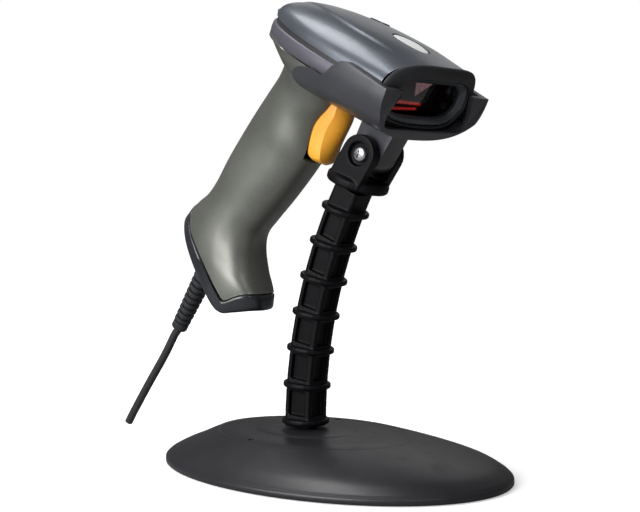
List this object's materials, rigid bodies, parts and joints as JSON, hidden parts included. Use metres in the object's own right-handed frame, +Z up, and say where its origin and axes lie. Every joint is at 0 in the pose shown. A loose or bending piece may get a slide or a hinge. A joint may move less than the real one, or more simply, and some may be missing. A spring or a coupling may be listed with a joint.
{
  "type": "handheld barcode scanner with hands-free stand",
  "caption": "Pistol-grip laser barcode scanner with a trigger, resting nose-down in a tilting cradle on a ribbed curved neck and a weighted oval base.",
  "frame": {"origin": "on the table, under the middle of the oval base, at the underside of the centre foot", "axes": "+Z up, the scanner's nose points along -Y, the cable leaves towards +Y, X is across; X = 0 is the plane of symmetry of the main shapes"},
  "size_m": [0.134, 0.242, 0.231],
  "materials": {
    "stand_plastic": "satin charcoal, finely textured",
    "black_plastic": "semi-matte black moulding",
    "cradle_plastic": "satin charcoal",
    "body_satin": "satin warm grey with a fine metallic fleck",
    "cover_satin": "satin blue-grey with a fine metallic fleck",
    "band_satin": "satin purple-grey",
    "cap_gloss": "semi-gloss dark grey",
    "black_rubber": "matte black",
    "trigger_amber": "glossy amber",
    "plain_steel": "zinc plated",
    "bright_chrome": "bright plated",
    "plain_brass": "turned",
    "window_red": "dark red filter, polished",
    "board_green": "solder mask",
    "component_black": "moulded",
    "coil_copper": "enamelled copper winding",
    "mirror_face": "front-surface mirror",
    "badge_white": "plain white oval",
    "indicator_smoke": "smoked clear plastic",
    "plunger_grey": "moulded"
  },
  "bodies": {
    "stand": {"base_shell": "stand_plastic", "ballast_plate": "plain_steel", "base_foot_1": "black_rubber", "base_foot_2": "black_rubber", "base_foot_3": "black_rubber", "base_foot_4": "black_rubber", "base_foot_5": "black_rubber", "base_screw_1": "plain_steel", "base_screw_2": "plain_steel", "base_screw_3": "plain_steel", "neck": "black_plastic", "neck_washer": "plain_steel", "neck_screw": "plain_steel", "yoke": "black_plastic", "tilt_screw": "bright_chrome", "tilt_nut": "plain_steel", "friction_washer_left": "component_black", "friction_washer_right": "component_black"},
    "cradle": {"cradle": "cradle_plastic"},
    "scanner": {"body_shell": "body_satin", "top_cover": "cover_satin", "side_band": "band_satin", "nose_bumper": "black_rubber", "scan_window": "window_red", "end_cap": "cap_gloss", "badge": "badge_white", "indicator_lens": "indicator_smoke", "trigger_pin": "plain_steel", "trigger_spring": "plain_steel", "main_board": "board_green", "trigger_switch": "component_black", "decoder_chip": "component_black", "interface_chip": "component_black", "cable_jack": "component_black", "beeper": "component_black", "engine_chassis": "plain_steel", "laser_module": "plain_brass", "photo_sensor": "component_black", "collector_mirror": "mirror_face", "engine_screw_1": "plain_steel", "engine_screw_2": "plain_steel", "mirror_pivot": "plain_steel", "drive_coil": "coil_copper", "strain_relief": "black_rubber", "cable_plug": "indicator_smoke", "cable": "black_rubber"},
    "trigger": {"trigger": "trigger_amber"},
    "plunger": {"switch_plunger": "plunger_grey"},
    "mirror": {"scan_mirror": "mirror_face"}
  },
  "joints": [
    {"name": "cradle_tilt", "type": "hinge", "parent": "stand", "child": "cradle", "pos_m": [0, -0.0242, 0.1555], "axis": [1, 0, 0], "range_deg": [-3, 30]},
    {"name": "scanner_lift", "type": "slide", "parent": "cradle", "child": "scanner", "axis": [0, -0.4226, 0.9063], "range_m": [0, 0.06]},
    {"name": "trigger_pull", "type": "hinge", "parent": "scanner", "child": "trigger", "pos_m": [0, 0.00354, 0.18167], "axis": [1, 0, 0], "range_deg": [0, 6]},
    {"name": "switch_press", "type": "slide", "parent": "scanner", "child": "plunger", "axis": [0, 0.8384, 0.5451], "range_m": [0, 0.001]},
    {"name": "mirror_swing", "type": "hinge", "parent": "scanner", "child": "mirror", "pos_m": [0, -0.02461, 0.18951], "axis": [0, -0.4226, 0.9063], "range_deg": [-10, 10]}
  ],
  "couplings": [
    {"joint": "switch_press", "follows": "trigger_pull", "m_per_rad": 0.0095}
  ]
}
